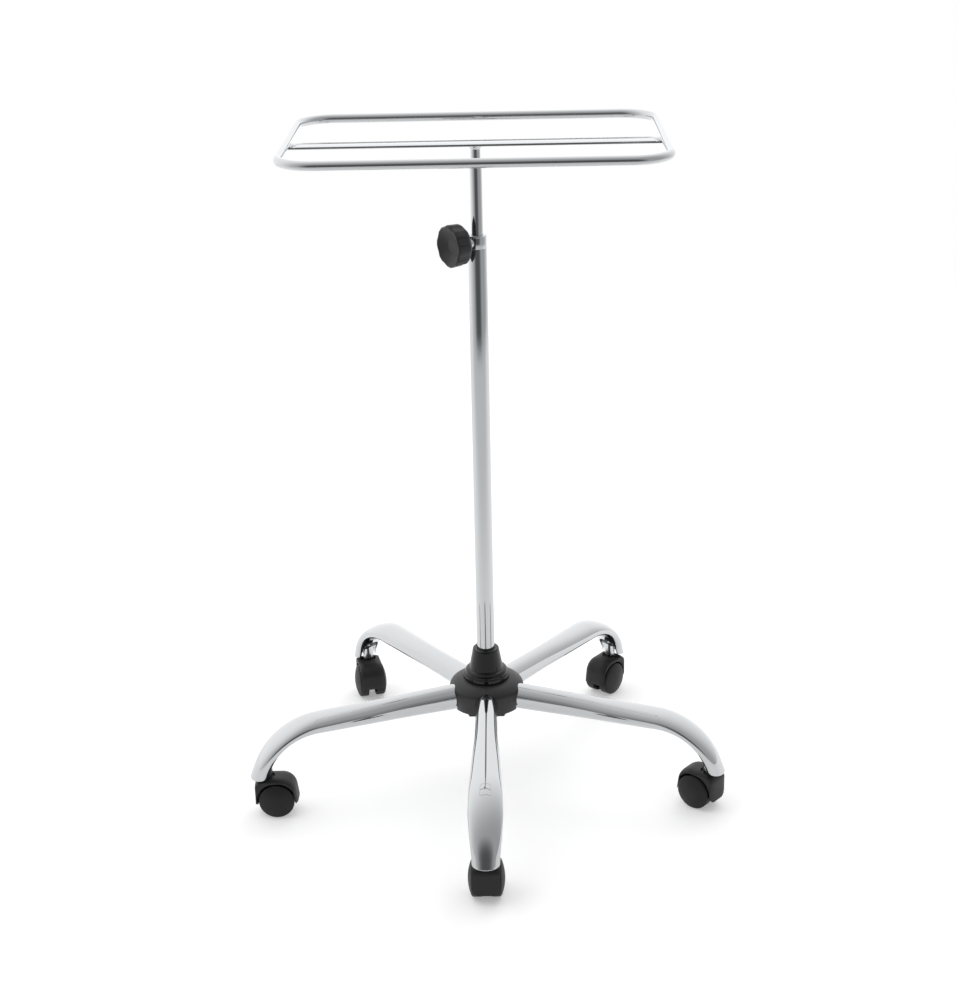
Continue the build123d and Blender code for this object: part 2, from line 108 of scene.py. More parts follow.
pale = add(room, "Math", {"operation": "MULTIPLY"}, {0: walls.outputs[0], 1: dim.outputs[0]})
rays = add(room, "LightPath")
shown = add(room, "Mix", {"data_type": "FLOAT", 3: 1.0},
            {0: rays.outputs["Is Camera Ray"], 2: pale.outputs[0]})
glow = add(room, "Background", {"Color": linear("#ffffff")}, {"Strength": shown.outputs[0]})
add(room, "OutputWorld", links={"Surface": glow.outputs[0]})

# White paper, matt. It is lifted to white for the camera. Its back half has a painted glow
# that only mirrors show, standing in for lamp light that falls off towards the camera, and
# its rim fades into the room.
FLOOR_REACH, FADE_FROM = 3.3, 2.4
bpy.ops.object.select_all(action="DESELECT")
bpy.ops.mesh.primitive_circle_add(vertices=96, radius=FLOOR_REACH, fill_type="NGON")
floor = bpy.context.object
floor.name = "studio_floor"
paper, tree = fresh_material("white_paper")
place = add(tree, "TexCoord")
reach = add(tree, "VectorMath", {"operation": "LENGTH"}, {0: place.outputs["Object"]})
edge = add(tree, "MapRange", {"interpolation_type": "SMOOTHSTEP", 1: FADE_FROM, 2: FLOOR_REACH},
           {0: reach.outputs["Value"]})
sheet = add(tree, "BsdfDiffuse", {"Color": linear("#e9e9e9")})
rays = add(tree, "LightPath")
lift = add(tree, "Math", {"operation": "MULTIPLY", 1: 0.3}, {0: rays.outputs["Is Camera Ray"]})
depth = add(tree, "SeparateXYZ", links={0: place.outputs["Object"]})
# Painted glow: emission seen only in reflections, rising from none at the front to most at the
# back.
back = add(tree, "MapRange",
           {"interpolation_type": "SMOOTHSTEP", 1: -1.3, 2: 0.4, 3: 0.0, 4: 0.34},
           {0: depth.outputs["Y"]})
camera_lift_and_painted_glow = add(tree, "Math", {"operation": "MULTIPLY_ADD"},
               {0: rays.outputs["Is Glossy Ray"], 1: back.outputs[0], 2: lift.outputs[0]})
white = add(tree, "Emission", links={"Strength": camera_lift_and_painted_glow.outputs[0]})
lifted = add(tree, "AddShader", links={0: sheet.outputs[0], 1: white.outputs[0]})
gone = add(tree, "BsdfTransparent")
fade = add(tree, "MixShader", links={0: edge.outputs[0], 1: lifted.outputs[0], 2: gone.outputs[0]})
add(tree, "OutputMaterial", links={"Surface": fade.outputs[0]})
floor.data.materials.append(paper)
floor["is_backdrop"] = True

# Two weak soft lamps, left and behind, lay the shadows on the floor and aren't mirrored.
LAMP_AIM = Vector((0, 0, 0.4))
for name, spot, size, watts in (
        ("softbox_left", (-1.4, -0.3, 2.5), 1.6, 8.0),
        ("softbox_back", (0.7, 1.5, 1.9), 1.6, 9.0)):
    bpy.ops.object.light_add(type="AREA", location=spot)
    lamp = bpy.context.object
    lamp.name = name
    lamp.data.size = size
    lamp.data.energy = watts
    lamp.visible_glossy = False
    lamp.rotation_euler = (LAMP_AIM - Vector(spot)).to_track_quat("-Z", "Y").to_euler()

# The camera stands 2.3 m in front of the column and looks down on the base.
CAMERA_SPOT = (0.0409, -2.3457, 1.3670)
CAMERA_YAW, CAMERA_PITCH, CAMERA_ROLL = radians(1.157), radians(90 - 21.804), radians(-1.274)
bpy.ops.object.camera_add()
camera = bpy.context.object
camera.name = "photo_camera"
camera.data.lens = 66.1
camera.matrix_world = (Matrix.Translation(CAMERA_SPOT) @ Matrix.Rotation(CAMERA_YAW, 4, "Z")
                       @ Matrix.Rotation(CAMERA_PITCH, 4, "X")
                       @ Matrix.Rotation(CAMERA_ROLL, 4, "Z"))
scene.camera = camera


# The tray ring: one 12 mm steel rod bent to a rectangle with wide corners and welded shut.
# Plated with copper, nickel and chrome after welding, then buffed, so it mirrors the room.
def chrome_plate(name, colour, dullness, buff_mm):
    """Bright chrome plate: a mirror whose buffing waves and haze soften what it shows."""
    material, tree = fresh_material(name)
    place = add(tree, "TexCoord")
    waves = add(tree, "TexNoise", {"Scale": 1000 / buff_mm, "Detail": 3.0, "Roughness": 0.55},
                {"Vector": place.outputs["Object"]})
    haze = add(tree, "TexNoise", {"Scale": 1000 / (8 * buff_mm), "Detail": 2.0},
               {"Vector": place.outputs["Object"]})
    rough = add(tree, "MapRange", {1: 0.3, 2: 0.7, 3: dullness * 0.7, 4: dullness * 1.4},
                {0: haze.outputs["Fac"]})
    bump = add(tree, "Bump", {"Strength": 0.03, "Distance": 0.0002},
               {"Height": waves.outputs["Fac"]})
    metal = add(tree, "BsdfPrincipled", {"Base Color": linear(colour), "Metallic": 1.0},
                {"Roughness": rough.outputs[0], "Normal": bump.outputs[0]})
    add(tree, "OutputMaterial", links={"Surface": metal.outputs[0]})
    return material


def settle(name):
    """Names the new primitive and moves its place and turn into its mesh."""
    piece = bpy.context.object
    piece.name = name
    piece.data.name = name
    bpy.ops.object.transform_apply(location=True, rotation=True, scale=True)
    return piece


def pick(piece):
    """Makes a piece the only selected and the active one."""
    bpy.ops.object.select_all(action="DESELECT")
    piece.select_set(True)
    bpy.context.view_layer.objects.active = piece


def close_up(piece):
    """Merges doubled points, drops loose edges and turns all faces outwards."""
    bpy.ops.mesh.select_all(action="SELECT")
    bpy.ops.mesh.remove_doubles(threshold=0.01 * MM)
    bpy.ops.mesh.delete_loose()
    bpy.ops.mesh.select_all(action="SELECT")
    bpy.ops.mesh.normals_make_consistent(inside=False)
    bpy.ops.object.mode_set(mode="OBJECT")
    return piece


def hand_over(piece, material, body, node=None, angle=35):
    """Smooths a finished piece, gives it its material and body, and hides the imported
    node that it stands for."""
    pick(piece)
    bpy.ops.object.shade_smooth_by_angle(angle=radians(angle))
    piece.data.materials.clear()
    piece.data.materials.append(material)
    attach(piece, body)
    if node:
        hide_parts(node)


bright_chrome = chrome_plate("bright_chrome_plate", "#c6c8ca", 0.045, 9.0)
ring_low, ring_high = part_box("tray_ring")
RING_CORNER = 48 * MM
rod_r = (ring_high[2] - ring_low[2]) / 2
ring_x, ring_y, ring_z = ring_high[0] - rod_r, ring_high[1] - rod_r, ring_low[2] + rod_r
run_x, run_y = ring_x - RING_CORNER, ring_y - RING_CORNER
bpy.ops.object.select_all(action="DESELECT")
bpy.ops.mesh.primitive_circle_add(vertices=48, radius=rod_r, rotation=(0, pi / 2, 0),
                                  location=(-run_x, -ring_y, ring_z))
ring = settle("tray_ring_rod")
bpy.ops.object.mode_set(mode="EDIT")
bpy.ops.mesh.select_all(action="SELECT")
for ahead, bend_at in (
        ((2 * run_x, 0, 0), (run_x, -run_y, ring_z)),
        ((0, 2 * run_y, 0), (run_x, run_y, ring_z)),
        ((-2 * run_x, 0, 0), (-run_x, run_y, ring_z)),
        ((0, -2 * run_y, 0), (-run_x, -run_y, ring_z))):
    bpy.ops.mesh.extrude_region_move(TRANSFORM_OT_translate={"value": ahead})
    bpy.ops.mesh.spin(steps=16, angle=-pi / 2, center=bend_at, axis=(0, 0, 1))
close_up(ring)
hand_over(ring, bright_chrome, "mast", "tray_ring")


# The cross bar: flat steel bar laid across under the ring, each end cupping the side rod
# and welded to it. It is ground, and plated together with the ring.
def block(name, low, high):
    """A rectangular block between two corners."""
    low, high = Vector(low), Vector(high)
    bpy.ops.object.select_all(action="DESELECT")
    bpy.ops.mesh.primitive_cube_add(size=1.0, location=(low + high) / 2, scale=high - low)
    return settle(name)


def rod(name, radius, low, high, sides=64):
    """A closed round bar between two points."""
    low, high = Vector(low), Vector(high)
    bpy.ops.object.select_all(action="DESELECT")
    bpy.ops.mesh.primitive_cylinder_add(
        vertices=sides, radius=radius, depth=(high - low).length, location=(low + high) / 2,
        rotation=(high - low).to_track_quat("Z", "Y").to_euler())
    return settle(name)


def modify(piece, kind, **settings):
    """Adds one modifier and applies it."""
    pick(piece)
    change = piece.modifiers.new(kind.lower(), kind)
    for key, value in settings.items():
        setattr(change, key, value)
    bpy.ops.object.modifier_apply(modifier=change.name)


def cut(piece, tool, operation="DIFFERENCE"):
    """Cuts a tool solid out of a piece, or joins it on, and deletes the tool."""
    modify(piece, "BOOLEAN", operation=operation, object=tool, solver="EXACT")
    bpy.data.objects.remove(tool)


bar_low, bar_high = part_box("cross_bar")
bar = block("cross_bar_flat", bar_low, bar_high)
GRIND_START, GRIND_DEPTH = 229.3, 0.4        # where each end is ground down for its weld
for side in (-1, 1):
    cut(bar, rod("rod_seat", rod_r, (side * ring_x, -0.05, ring_z), (side * ring_x, 0.05, ring_z)))
    ends = sorted((side * GRIND_START * MM, side * 0.26))
    cut(bar, block("ground_end", (ends[0], -0.02, bar_high[2] - GRIND_DEPTH * MM),
                   (ends[1], 0.02, bar_high[2] + 0.01)))
modify(bar, "BEVEL", width=0.8 * MM, segments=3, limit_method="ANGLE", angle_limit=radians(60))
hand_over(bar, bright_chrome, "mast", "cross_bar")

# Each end of the bar is held to its side rod by a short ground weld in the corner on top.
BEAD_HALF_SIZE, BEAD_INSET, BEAD_WOBBLE = (2.3 * MM, 12.5 * MM, 1.7 * MM), 4.1 * MM, 0.35
for side in (-1, 1):
    bpy.ops.object.select_all(action="DESELECT")
    bpy.ops.mesh.primitive_uv_sphere_add(
        segments=32, ring_count=20, radius=1.0, scale=BEAD_HALF_SIZE,
        location=(side * (ring_x - BEAD_INSET), 0, bar_high[2]))
    bead = settle("bar_weld_left" if side < 0 else "bar_weld_right")
    for v in bead.data.vertices:
        v.co += v.normal * BEAD_WOBBLE * MM * noise.noise(v.co * 400)
    hand_over(bead, bright_chrome, "mast", angle=80)


# The mast: 16 mm steel tube, swaged to a neck where it meets the bar and snapped into a
# nylon bush at its lower end. Chrome plated and buffed.
def turned(name, outline, sides=96, sweep=360.0):
    """A piece turned about Z through the origin from its closed outline of
    (radius, height) points in millimetres."""
    bpy.ops.object.select_all(action="DESELECT")
    bpy.ops.mesh.primitive_circle_add(vertices=len(outline), radius=1.0)
    piece = settle(name)
    for vertex, (radius, height) in zip(piece.data.vertices, outline):
        vertex.co = (radius * MM, 0, height * MM)
    bpy.ops.object.mode_set(mode="EDIT")
    bpy.ops.mesh.select_all(action="SELECT")
    steps = max(2, round(sides * sweep / 360))
    bpy.ops.mesh.spin(steps=steps, angle=-radians(sweep), center=(0, 0, 0), axis=(0, 0, 1))
    bpy.ops.mesh.select_all(action="SELECT")
    bpy.ops.mesh.remove_doubles(threshold=0.01 * MM)
    if sweep < 360:
        bpy.ops.mesh.fill_holes(sides=0)
    return close_up(piece)


def eased(outline, bends, step=15):
    """The outline with chosen corners rounded: bends maps a corner's place in the list
    to its radius."""
    points = []
    for k, corner in enumerate(outline):
        corner = Vector(corner)
        if k not in bends:
            points.append(tuple(corner))
            continue
        back = (Vector(outline[k - 1]) - corner).normalized()
        ahead = (Vector(outline[(k + 1) % len(outline)]) - corner).normalized()
        half = back.angle(ahead) / 2
        run = bends[k] / tan(half)
        middle = corner + (back + ahead).normalized() * bends[k] / sin(half)
        start = corner + back * run - middle
        end = corner + ahead * run - middle
        sweep = atan2(start.x * end.y - start.y * end.x, start.dot(end))
        count = max(2, round(degrees(abs(sweep)) / step))
        for n in range(count + 1):
            spun = sweep * n / count
            points.append((middle.x + start.x * cos(spun) - start.y * sin(spun),
                           middle.y + start.x * sin(spun) + start.y * cos(spun)))
    return points


mast_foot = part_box("mast_rod")[0][2] / MM
bar_under = bar_low[2] / MM
groove_low, groove_high = mast_foot + 15, mast_foot + 19
neck_start, neck_full = bar_under - 24, bar_under - 17
MAST_R, MAST_BORE, GROOVE_R, NECK_R, NECK_BORE = 8.0, 6.0, 7.0, 6.5, 4.5
mast = turned("mast_tube", eased([
    (MAST_BORE, mast_foot), (MAST_R, mast_foot), (MAST_R, groove_low), (GROOVE_R, groove_low),
    (GROOVE_R, groove_high), (MAST_R, groove_high), (MAST_R, neck_start), (NECK_R, neck_full),
    (NECK_R, bar_under), (NECK_BORE, bar_under), (NECK_BORE, neck_full),
    (MAST_BORE, neck_start),
], {0: 0.3, 1: 0.6, 6: 14.0, 7: 14.0}, step=3), sides=128)
hand_over(mast, bright_chrome, "mast", "mast_rod")

# The weld that flares from the neck to the bar is left rough and only lightly dressed.
weld = turned("mast_weld_bead", [
    (6.4, bar_under - 5.6), (6.7, bar_under - 5.3), (7.1, bar_under - 4.5),
    (7.5, bar_under - 3.4), (8.0, bar_under - 2.3), (8.7, bar_under - 1.3),
    (9.6, bar_under - 0.6), (10.6, bar_under - 0.1), (10.6, bar_under + 0.2),
    (6.2, bar_under + 0.2)], sides=96)
for v in weld.data.vertices:
    if v.co.z < (bar_under - 0.05) * MM and v.co.xy.length > 6.45 * MM:
        rough_off = noise.noise(v.co * 900) + 0.5 * noise.noise(v.co * 2100)
        v.co.xy *= 1 + 0.055 * rough_off
hand_over(weld, bright_chrome, "mast", "mast_weld", angle=60)


# The glide bush: white nylon, injection moulded, snapped over the groove in the mast's
# foot. It runs inside the column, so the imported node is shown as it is.
def moulded(name, colour, roughness, grain_mm, grain_depth, ior=1.5, coat=0.0):
    """A moulded plastic: one even colour under the fine grain of the mould's skin."""
    material, tree = fresh_material(name)
    place = add(tree, "TexCoord")
    grain = add(tree, "TexNoise", {"Scale": 1000 / grain_mm, "Detail": 2.0, "Roughness": 0.6},
                {"Vector": place.outputs["Object"]})
    flow = add(tree, "TexNoise", {"Scale": 1000 / 26.0, "Detail": 2.0},
               {"Vector": place.outputs["Object"]})
    rough = add(tree, "MapRange", {1: 0.3, 2: 0.7, 3: roughness * 0.88, 4: roughness * 1.12},
                {0: flow.outputs["Fac"]})
    bump = add(tree, "Bump", {"Strength": grain_depth, "Distance": 0.0002},
               {"Height": grain.outputs["Fac"]})
    skin = add(tree, "BsdfPrincipled",
               {"Base Color": linear(colour), "IOR": ior, "Coat Weight": coat},
               {"Roughness": rough.outputs[0], "Normal": bump.outputs[0]})
    add(tree, "OutputMaterial", links={"Surface": skin.outputs[0]})
    return material


def dress(node, material):
    """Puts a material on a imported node, in each slot that it has."""
    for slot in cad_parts[node].material_slots:
        slot.material = material


# Natural nylon 6: milky white and slightly waxy.
natural_nylon = moulded("natural_nylon_moulded", "#e6e3d8", 0.42, 0.8, 0.1, ior=1.53)
dress("glide_bush", natural_nylon)


# The column: 25 mm welded steel tube with a 1.5 mm wall, cut square, chrome plated and
# buffed. It stands in the hub and takes the collar in its mouth.
COLUMN_R, COLUMN_BORE = 12.5, 11.0
tube_low, tube_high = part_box("column_tube")
column_foot, column_mouth = tube_low[2] / MM, tube_high[2] / MM
column = turned("column_tube_chromed", eased([
    (COLUMN_BORE, column_foot), (COLUMN_R, column_foot), (COLUMN_R, column_mouth),
    (COLUMN_BORE, column_mouth),
], {1: 0.3, 2: 0.25}), sides=160)
hand_over(column, bright_chrome, "base", "column_tube")

# The collar: a turned steel bush pressed into the column's mouth. It guides the mast, and
# a scored line runs round it under its top edge.
collar_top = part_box("collar_bush")[1][2] / MM
COLLAR_BORE, SPIGOT = 8.05, 23.0
collar = turned("collar_bush_turned", eased([
    (COLLAR_BORE, column_mouth - SPIGOT), (10.5, column_mouth - SPIGOT),
    (COLUMN_BORE, column_mouth - 22.5), (COLUMN_BORE, column_mouth), (COLUMN_R, column_mouth),
    (COLUMN_R, collar_top - 2.5), (12.05, collar_top - 2.1), (COLUMN_R, collar_top - 1.7),
    (COLUMN_R, collar_top), (COLLAR_BORE, collar_top),
], {4: 0.25, 5: 0.12, 7: 0.12, 8: 0.7, 9: 0.6}), sides=160)
CLAMP_Z, CLAMP_HEADING = 0.791, radians(214.8)
clamp_spin = Matrix.Translation((0, 0, CLAMP_Z)) @ Matrix.Rotation(CLAMP_HEADING, 4, "Z")
along_clamp = clamp_spin @ Matrix.Rotation(pi / 2, 4, "Y")
cut(collar, rod("stud_way", 4.1 * MM, clamp_spin @ Vector((0, 0, 0)),
                clamp_spin @ Vector((0.03, 0, 0))))
hand_over(collar, bright_chrome, "base", "collar_bush")

# The clamp's boss: a steel weld nut coped to the collar's side and tapped for the stud.
# Chrome plated with the column.
boss = turned("clamp_boss_nut", eased([
    (4.05, 9.5), (7.5, 9.5), (7.5, 21.0), (4.05, 21.0)], {2: 1.0, 3: 0.4}), sides=72)
boss.data.transform(along_clamp)
cut(boss, rod("collar_seat", COLUMN_R * MM, (0, 0, 0.76), (0, 0, 0.82), sides=160))
hand_over(boss, bright_chrome, "base", "clamp_boss")


# The clamp's stud and tip: zinc plated steel thread with a loose brass tip that bears on
# the mast. Both are inside the boss and knob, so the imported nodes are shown.
def plated(name, colour, roughness, spangle_mm):
    """Zinc plate or raw alloy: a soft grey metal, slightly blotched."""
    material, tree = fresh_material(name)
    place = add(tree, "TexCoord")
    spangle = add(tree, "TexNoise", {"Scale": 1000 / spangle_mm, "Detail": 3.0},
                  {"Vector": place.outputs["Object"]})
    rough = add(tree, "MapRange", {1: 0.3, 2: 0.7, 3: roughness * 0.8, 4: roughness * 1.2},
                {0: spangle.outputs["Fac"]})
    bump = add(tree, "Bump", {"Strength": 0.08, "Distance": 0.0001},
               {"Height": spangle.outputs["Fac"]})
    metal = add(tree, "BsdfPrincipled", {"Base Color": linear(colour), "Metallic": 1.0},
                {"Roughness": rough.outputs[0], "Normal": bump.outputs[0]})
    add(tree, "OutputMaterial", links={"Surface": metal.outputs[0]})
    return material


zinc_plate = plated("zinc_plated_steel", "#c3c6c8", 0.30, 1.6)
turned_brass = plated("turned_brass", "#c9a85e", 0.22, 1.2)
dress("clamp_stud", zinc_plate)
dress("clamp_pad", turned_brass)

# The knob: charcoal thermoplastic moulded round the stud, with a dished face, a flat well
# in its middle, eight shallow hollows round the rim and a neck behind.
KNOB_FRONT, KNOB_RIM = 46.0, 28.0
knob = turned("clamp_knob_moulded", eased([
    (0, 38.0), (4.1, 38.0), (4.1, 22.5), (9.0, 22.5), (10.4, 23.4), (18.0, 23.4),
    (24.4, 24.2), (27.2, 28.0), (27.9, 43.6), (26.0, KNOB_FRONT), (24.0, KNOB_FRONT),
    (22.4, 44.9), (13.0, 40.6), (9.5, 38.9), (0, 38.9),
], {3: 0.5, 6: 2.0, 7: 3.0, 9: 1.2, 10: 0.8, 13: 1.0}, step=20), sides=192)
# The hollows are full on the rim and die out towards the dish
SCALLOP_R, SCALLOP_DEPTH, SCALLOP_INNER, SCALLOP_EASE = 60.0, 1.2, 22.0, 4.0
scallop_at = KNOB_RIM - SCALLOP_DEPTH + SCALLOP_R
for v in knob.data.vertices:
    reach = v.co.xy.length / MM
    turn = (atan2(v.co.y, v.co.x) % (pi / 4)) - pi / 8
    rim = scallop_at * cos(turn) - sqrt(SCALLOP_R ** 2 - (scallop_at * sin(turn)) ** 2)
    if reach > SCALLOP_INNER:
        share = min(1.0, (reach - SCALLOP_INNER) / SCALLOP_EASE)
        v.co.xy *= 1 - max(0.0, KNOB_RIM - rim) * share / reach
knob.data.transform(along_clamp)
knob_plastic = moulded("charcoal_knob_nylon", "#242425", 0.5, 0.5, 0.18, ior=1.45)
hand_over(knob, knob_plastic, "clamp_handle", "clamp_knob", angle=40)


# The hub's own steel parts: a five-sided welded block painted black, the plug in the
# column's foot, and the bolt and washer that pull them together, all under the cover.
def painted(name, colour, roughness):
    """Stove enamel on steel: an even skin with a slight orange peel."""
    material, tree = fresh_material(name)
    place = add(tree, "TexCoord")
    peel = add(tree, "TexNoise", {"Scale": 1000 / 2.5, "Detail": 1.0},
               {"Vector": place.outputs["Object"]})
    bump = add(tree, "Bump", {"Strength": 0.15, "Distance": 0.0001},
               {"Height": peel.outputs["Fac"]})
    skin = add(tree, "BsdfPrincipled",
               {"Base Color": linear(colour), "Roughness": roughness, "IOR": 1.5},
               {"Normal": bump.outputs[0]})
    add(tree, "OutputMaterial", links={"Surface": skin.outputs[0]})
    return material


black_enamel = painted("black_stove_enamel", "#1d1d1e", 0.35)
dress("hub_core", black_enamel)
for node in ("column_plug", "hub_washer", "hub_bolt"):
    dress(node, zinc_plate)


# The hub cover: a black ABS dome with a fine spark-eroded skin, dropped over the hub, with
# a notch moulded to hug each leg. It rests on the hub under the cone.
def copy_of(piece, name, place):
    """A copy with a mesh of its own, moved into place."""
    twin = piece.copy()
    twin.data = piece.data.copy()
    twin.name = twin.data.name = name
    bpy.context.scene.collection.objects.link(twin)
    twin.data.transform(place)
    return twin


def close_ends(piece):
    """Fills a piece's open ends."""
    pick(piece)
    bpy.ops.object.mode_set(mode="EDIT")
    bpy.ops.mesh.select_all(action="SELECT")
    bpy.ops.mesh.fill_holes(sides=0)
    return close_up(piece)


def dome_line(inset):
    """The dome's profile from its top rim down to its foot, drawn in by the inset."""
    return eased([(33.0 - 0.3 * inset, 158.5 - inset), (45.5 - 0.6 * inset, 154.2 - inset),
                  (52.8 - inset, 147.2 - 0.5 * inset), (51.8 - inset, 119.5)],
                 {1: 25.0 - inset, 2: 9.0 - inset}, step=4)


# Each leg's name, its heading from the column, and the heading of its caster's tail
LEGS = (("front", -90, 90), ("right", -18, 140), ("back_right", 54, 232),
        ("back_left", 126, 284), ("left", 198, 0))
cover = turned("hub_cover_dome", [(17.5, 158.5)] + dome_line(0.0)
               + dome_line(2.5)[::-1] + [(17.5, 156.0)], sides=160)
NOTCH_MIDDLE, NOTCH_LENGTH = 0.048, 0.04
NOTCH_HALF_WIDTH, NOTCH_HALF_HEIGHT, NOTCH_Z, NOTCH_DROP = 15.9, 19.06, 132.84, 60.0
bpy.ops.object.select_all(action="DESELECT")
bpy.ops.mesh.primitive_circle_add(vertices=96, radius=1.0, fill_type="NGON",
                                  rotation=(pi / 2, 0, pi / 2))
arch = settle("leg_notch")
for v in arch.data.vertices:
    side = 0.0 if abs(v.co.y) < 0.001 else (1.0 if v.co.y > 0 else -1.0)
    across = v.co.y if v.co.z >= 0 else side
    tall = NOTCH_HALF_HEIGHT if v.co.z >= 0 else NOTCH_DROP
    v.co = (NOTCH_MIDDLE, across * NOTCH_HALF_WIDTH * MM, (NOTCH_Z + v.co.z * tall) * MM)
modify(arch, "SOLIDIFY", thickness=NOTCH_LENGTH, offset=0.0)
close_ends(arch)
for _, heading, _ in LEGS:
    cut(cover, copy_of(arch, "notch", Matrix.Rotation(radians(heading), 4, "Z")))
bpy.data.objects.remove(arch)
modify(cover, "BEVEL", width=0.45 * MM, segments=2, limit_method="ANGLE",
       angle_limit=radians(50))
cover_abs = moulded("black_textured_abs", "#1d1d1e", 0.42, 0.7, 0.16, ior=1.47)
hand_over(cover, cover_abs, "base", "hub_cover", angle=40)


# The cone: glossy black ABS from a polished mould, slipped down the column to hide where
# it enters the hub. Stepped rings run round its foot and a rolled lip round its mouth.
CONE_FOOT, CONE_TOP = 158.5, 203.2
cone = turned("cone_cover_moulded", eased([
    (18.5, CONE_FOOT), (33.0, CONE_FOOT), (33.0, CONE_FOOT + 6.6), (30.6, CONE_FOOT + 6.6),
    (30.6, CONE_FOOT + 9.0), (28.6, CONE_FOOT + 13.0), (24.1, CONE_FOOT + 13.9),
    (23.7, CONE_FOOT + 15.4), (18.8, CONE_TOP - 2.6), (18.3, CONE_TOP), (12.65, CONE_TOP),
    (12.65, CONE_TOP - 5.0), (15.6, CONE_TOP - 6.0), (18.5, CONE_FOOT + 20.0),
], {1: 0.6, 2: 1.1, 3: 0.5, 5: 3.0, 6: 0.9, 7: 1.2, 8: 0.8, 9: 1.5, 10: 0.9}), sides=160)
gloss_abs = moulded("black_gloss_abs", "#0c0c0d", 0.08, 6.0, 0.012, ior=1.42)
hand_over(cone, gloss_abs, "base", "cone_cover", angle=40)


# The legs: five oval steel tubes, tall at the hub and pressed flat and wide where they
# bend down, each with its end cut nearly level and an arched window in its inner wall.
# Chrome plated and buffed like the column.
LEG_HUB_R, BEND_START, BEND_START_Z, BEND_R = 34.0, 249.2, 127.6, 90.0
FALL, TIP_ANGLE, TIP_RUN = radians(1.5), radians(69.1), 10.8
LEG_WALL, END_CUT, STEM_RADIUS = 1.5, radians(8.5), 325.5
leg_straight = (BEND_START - LEG_HUB_R) / cos(FALL)
leg_hub_z = BEND_START_Z + (BEND_START - LEG_HUB_R) * tan(FALL)
leg_arc = BEND_R * (TIP_ANGLE - FALL)
leg_length = leg_straight + leg_arc + TIP_RUN
# Share of the leg's length, half height and half width of the oval there
OVALS = ((0.0, 19.0, 15.5), (0.30, 16.6, 16.3), (0.48, 15.1, 19.6), (0.648, 13.8, 21.8),
         (0.73, 11.4, 23.0), (0.81, 9.8, 23.3), (0.89, 10.4, 21.6), (1.0, 11.6, 17.9),
         (1.2, 11.6, 17.9))


def oval_at(run):
    """Half height and half width in millimetres, averaged over a short way so that the
    oval changes smoothly along the leg."""
    total = Vector((0, 0))
    for step in range(-5, 6):
        share = min(max(run / leg_length + 0.008 * step, 0.0), 1.19)
        here, there = next((a, b) for a, b in zip(OVALS, OVALS[1:]) if share <= b[0])
        part = (share - here[0]) / (there[0] - here[0])
        total += Vector(here[1:]).lerp(Vector(there[1:]), part)
    return total / 11


def leg_place(run):
    """Radius and height of the leg's centreline and its slope, by distance along it."""
    slope = min(FALL + max(0.0, run - leg_straight) / BEND_R, TIP_ANGLE)
    level = min(run, leg_straight)
    past = max(0.0, run - leg_straight - leg_arc)
    r = LEG_HUB_R + level * cos(FALL) + BEND_R * (sin(slope) - sin(FALL)) + past * cos(slope)
    z = leg_hub_z - level * sin(FALL) - BEND_R * (cos(FALL) - cos(slope)) - past * sin(slope)
    return r, z, slope


def leg_skin(name, inset, runs):
    """The oval tube drawn out straight along X, then bent to the leg's line."""
    bpy.ops.object.select_all(action="DESELECT")
    bpy.ops.mesh.primitive_circle_add(vertices=72, radius=1.0, rotation=(0, pi / 2, 0),
                                      location=(runs[0] * MM, 0, 0))
    skin = settle(name)
    bpy.ops.object.mode_set(mode="EDIT")
    bpy.ops.mesh.select_all(action="SELECT")
    for run, onward in zip(runs, runs[1:]):
        bpy.ops.mesh.extrude_region_move(
            TRANSFORM_OT_translate={"value": ((onward - run) * MM, 0, 0)})
    bpy.ops.object.mode_set(mode="OBJECT")
    for v in skin.data.vertices:
        run = v.co.x / MM
        half_height, half_width = oval_at(run)
        r, z, slope = leg_place(run)
        up = v.co.z * (half_height - inset)
        v.co = ((r + up * sin(slope)) * MM, v.co.y * (half_width - inset) * MM,
                (z + up * cos(slope)) * MM)
    return skin


tube_runs = [leg_straight * k / 18 for k in range(18)]
tube_runs += [leg_straight + (leg_arc + TIP_RUN + 14) * k / 44 for k in range(45)]
leg = leg_skin("leg_tube", 0.0, tube_runs)
pick(leg)
bpy.ops.object.mode_set(mode="EDIT")
bpy.ops.mesh.select_all(action="SELECT")
bpy.ops.mesh.normals_make_consistent(inside=False)
bpy.ops.object.mode_set(mode="OBJECT")
modify(leg, "SOLIDIFY", thickness=LEG_WALL * MM, offset=-1.0, use_even_offset=True)
end_r, end_z, _ = leg_place(leg_length)
below = block("floor_side", (-0.06, -0.06, -0.06), (0.06, 0.06, 0))
below.data.transform(Matrix.Translation((end_r * MM, 0, end_z * MM))
                     @ Matrix.Rotation(END_CUT, 4, "Y"))
cut(leg, below)
WINDOW_HALF, WINDOW_TOP = 13.0, 91.0
window_in, window_out = (STEM_RADIUS - 45) * MM, (STEM_RADIUS + 2) * MM
window_z = (WINDOW_TOP - WINDOW_HALF) * MM
window = rod("window_cutter", WINDOW_HALF * MM, (window_in, 0, window_z),
             (window_out, 0, window_z))
cut(window, block("window_foot", (window_in, -WINDOW_HALF * MM, 0.03),
                  (window_out, WINDOW_HALF * MM, window_z)), "UNION")
cut(leg, window)
modify(leg, "BEVEL", width=0.35 * MM, segments=2, limit_method="ANGLE", angle_limit=radians(55))


def at_each_leg(piece, label, material, node, angle=35):
    """Copies a piece modelled on +X to all five legs and drops the first one."""
    for name, heading, _ in LEGS:
        twin = copy_of(piece, label + name, Matrix.Rotation(radians(heading), 4, "Z"))
        hand_over(twin, material, "base", node + name, angle)
    bpy.data.objects.remove(piece)


at_each_leg(leg, "leg_tube_", bright_chrome, "leg_", angle=30)


